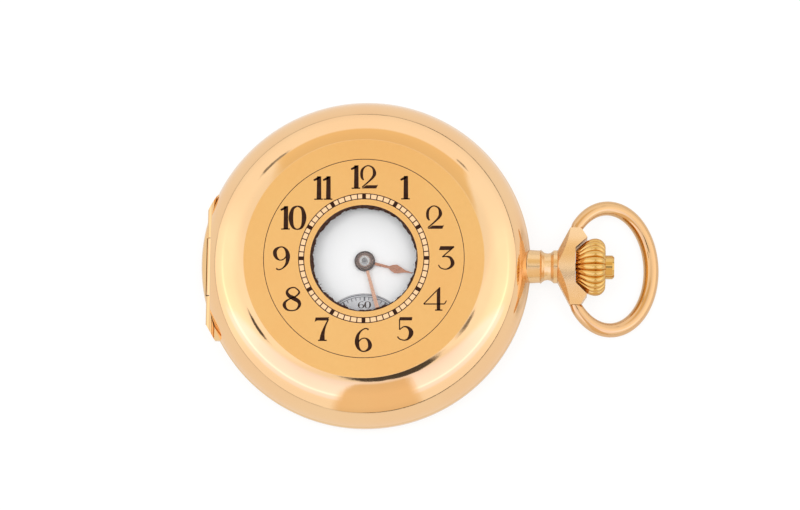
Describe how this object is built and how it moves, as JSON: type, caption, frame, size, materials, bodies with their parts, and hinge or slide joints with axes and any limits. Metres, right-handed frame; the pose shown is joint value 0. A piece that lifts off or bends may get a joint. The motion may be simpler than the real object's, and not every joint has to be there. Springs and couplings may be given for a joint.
{
  "type": "half-hunter pocket watch",
  "caption": "Gold half-hunter pocket watch with a windowed front lid, hinged back and cuvette, pendant crown, bow and a complete hand-wound movement.",
  "frame": {"origin": "centre of the flat on the back cover, on which the watch lies", "axes": "+Z out of the dial through the lid, +X along the pendant and winding stem (three o'clock), +Y to twelve o'clock"},
  "size_m": [0.072, 0.0518, 0.013],
  "materials": {
    "gold": "polished gold",
    "glass": "clear polished",
    "steel": "polished steel",
    "blued_steel": "heat blued",
    "nickel": "striped nickel plate",
    "gilt_brass": "frosted gilt",
    "enamel": "white enamel",
    "copper": "polished rose copper",
    "ruby": "polished ruby"
  },
  "bodies": {
    "case": {"case_middle": "gold", "pendant_neck": "gold", "pendant_head": "gold", "inner_bezel": "gold", "crystal": "glass", "lid_hinge_pin": "steel", "back_hinge_pin": "steel", "cuvette_hinge_pin": "steel", "lid_spring": "steel", "case_screws": "blued_steel", "dial": "enamel", "seconds_dial": "enamel", "setting_bridge": "nickel", "click_spring": "blued_steel", "mainplate": "gilt_brass", "barrel_bridge": "nickel", "train_bridge": "nickel", "balance_cock": "nickel", "pallet_cock": "nickel", "hairspring": "blued_steel", "jewels": "ruby", "bridge_screws": "blued_steel", "wheel_screws": "blued_steel", "setting_screws": "blued_steel"},
    "lid": {"front_lid": "gold", "lid_crystal": "glass"},
    "back": {"back_cover": "gold"},
    "dust_cover": {"cuvette": "gold"},
    "bow_loop": {"bow": "gold"},
    "winding": {"winding_pinion": "steel"},
    "crown_stem": {"crown": "gold", "stem": "steel"},
    "push": {"push_piece": "gold"},
    "lock": {"lock_spring": "steel"},
    "clutch": {"sliding_pinion": "steel"},
    "lever": {"setting_lever": "steel"},
    "clutch_lever": {"yoke": "steel"},
    "transmission": {"crown_wheel": "steel"},
    "ratchet": {"ratchet_wheel": "steel", "barrel_arbor": "steel", "ratchet_screw": "blued_steel"},
    "pawl": {"click": "steel"},
    "going_barrel": {"barrel": "gilt_brass", "barrel_cover": "gilt_brass", "mainspring": "steel"},
    "center": {"center_wheel": "gilt_brass", "cannon_pinion": "steel", "minute_hand": "copper"},
    "third": {"third_wheel": "gilt_brass"},
    "seconds": {"fourth_wheel": "gilt_brass", "seconds_hand": "copper"},
    "escape": {"escape_wheel": "steel"},
    "fork": {"pallet_fork": "steel"},
    "balance": {"balance_wheel": "gilt_brass"},
    "index": {"regulator": "steel"},
    "minute_works": {"minute_wheel": "gilt_brass"},
    "hour": {"hour_wheel": "gilt_brass", "hour_hand": "copper"},
    "setting": {"setting_wheel": "steel"}
  },
  "joints": [
    {"name": "lid_hinge", "type": "hinge", "parent": "case", "child": "lid", "pos_m": [-0.0243, 0, 0.007], "axis": [0, -1, 0], "range_deg": [0, 90]},
    {"name": "back_hinge", "type": "hinge", "parent": "case", "child": "back", "pos_m": [-0.0245, 0, 0.0046], "axis": [0, 1, 0], "range_deg": [0, 100]},
    {"name": "cuvette_hinge", "type": "hinge", "parent": "case", "child": "dust_cover", "pos_m": [-0.0232, 0, 0.00435], "axis": [0, 1, 0], "range_deg": [0, 75]},
    {"name": "bow_swing", "type": "hinge", "parent": "case", "child": "bow_loop", "pos_m": [0.0329, 0, 0.0058], "axis": [0, -1, 0], "range_deg": [-68, 111]},
    {"name": "crown_spin", "type": "hinge", "parent": "case", "child": "winding", "pos_m": [0.0178, 0, 0.0058], "axis": [1, 0, 0], "continuous": true},
    {"name": "crown_pull", "type": "slide", "parent": "winding", "child": "crown_stem", "axis": [1, 0, 0], "range_m": [0, 0.0008]},
    {"name": "push_in", "type": "slide", "parent": "crown_stem", "child": "push", "axis": [-1, 0, 0], "range_m": [0, 0.001], "stiffness_N_per_m": 400},
    {"name": "lock_release", "type": "slide", "parent": "case", "child": "lock", "axis": [-1, 0, 0], "range_m": [0, 0.00035]},
    {"name": "clutch_slide", "type": "slide", "parent": "winding", "child": "clutch", "axis": [-1, 0, 0], "range_m": [0, 0.0008]},
    {"name": "lever_turn", "type": "hinge", "parent": "case", "child": "lever", "pos_m": [0.01989, -0.004, 0.0071], "axis": [0, 0, -1], "range_deg": [0, 13.5]},
    {"name": "yoke_turn", "type": "hinge", "parent": "case", "child": "clutch_lever", "pos_m": [0.01579, 0.0046, 0.0071], "axis": [0, 0, -1], "range_deg": [0, 13.1]},
    {"name": "crown_wheel_turn", "type": "hinge", "parent": "case", "child": "transmission", "pos_m": [0.01534, 0, 0.0026], "axis": [0, 0, 1], "continuous": true},
    {"name": "ratchet_turn", "type": "hinge", "parent": "case", "child": "ratchet", "pos_m": [0.00656, 0.0068, 0.0026], "axis": [0, 0, 1], "continuous": true},
    {"name": "click_lift", "type": "hinge", "parent": "case", "child": "pawl", "pos_m": [-0.00035, 0.0122, 0.0026], "axis": [0, 0, 1], "range_deg": [0, 6], "stiffness_Nm_per_rad": 0.002},
    {"name": "seconds_turn", "type": "hinge", "parent": "case", "child": "seconds", "pos_m": [0, -0.0122, 0.005], "axis": [0, 0, -1], "continuous": true},
    {"name": "third_turn", "type": "hinge", "parent": "case", "child": "third", "pos_m": [0.00559, -0.00762, 0.005], "axis": [0, 0, -1], "continuous": true},
    {"name": "center_turn", "type": "hinge", "parent": "case", "child": "center", "pos_m": [0, 0, 0.005], "axis": [0, 0, -1], "continuous": true},
    {"name": "barrel_turn", "type": "hinge", "parent": "case", "child": "going_barrel", "pos_m": [0.00656, 0.0068, 0.005], "axis": [0, 0, -1], "continuous": true},
    {"name": "escape_turn", "type": "hinge", "parent": "case", "child": "escape", "pos_m": [-0.00537, -0.01416, 0.005], "axis": [0, 0, -1], "continuous": true},
    {"name": "minute_wheel_turn", "type": "hinge", "parent": "case", "child": "minute_works", "pos_m": [0.0048, 0, 0.0075], "axis": [0, 0, -1], "continuous": true},
    {"name": "setting_wheel_turn", "type": "hinge", "parent": "case", "child": "setting", "pos_m": [0.011, 0, 0.0075], "axis": [0, 0, -1], "continuous": true},
    {"name": "hour_turn", "type": "hinge", "parent": "case", "child": "hour", "pos_m": [0, 0, 0.0079], "axis": [0, 0, -1], "continuous": true},
    {"name": "fork_rock", "type": "hinge", "parent": "case", "child": "fork", "pos_m": [-0.00774, -0.01106, 0.005], "axis": [0, 0, 1], "range_deg": [-4, 4]},
    {"name": "balance_swing", "type": "hinge", "parent": "case", "child": "balance", "pos_m": [-0.01121, -0.00653, 0.003], "axis": [0, 0, 1], "range_deg": [-270, 270]},
    {"name": "regulator_turn", "type": "hinge", "parent": "case", "child": "index", "pos_m": [-0.01121, -0.00653, 0.0015], "axis": [0, 0, 1], "range_deg": [-15, 15]}
  ],
  "couplings": [
    {"joint": "cuvette_hinge", "follows": "back_hinge", "ratio": 0.75},
    {"joint": "lock_release", "follows": "push_in", "ratio": 0.35},
    {"joint": "clutch_slide", "follows": "crown_pull", "ratio": 1},
    {"joint": "lever_turn", "follows": "crown_pull", "rad_per_m": 292},
    {"joint": "yoke_turn", "follows": "crown_pull", "rad_per_m": 283.6},
    {"joint": "crown_wheel_turn", "follows": "crown_spin", "ratio": 0.66667},
    {"joint": "ratchet_turn", "follows": "crown_spin", "ratio": -0.4058},
    {"joint": "third_turn", "follows": "center_turn", "ratio": -8},
    {"joint": "seconds_turn", "follows": "center_turn", "ratio": 60},
    {"joint": "escape_turn", "follows": "center_turn", "ratio": -600},
    {"joint": "barrel_turn", "follows": "center_turn", "ratio": -0.15385},
    {"joint": "minute_wheel_turn", "follows": "center_turn", "ratio": -0.33333},
    {"joint": "setting_wheel_turn", "follows": "center_turn", "ratio": 0.46154},
    {"joint": "hour_turn", "follows": "center_turn", "ratio": 0.083333}
  ]
}
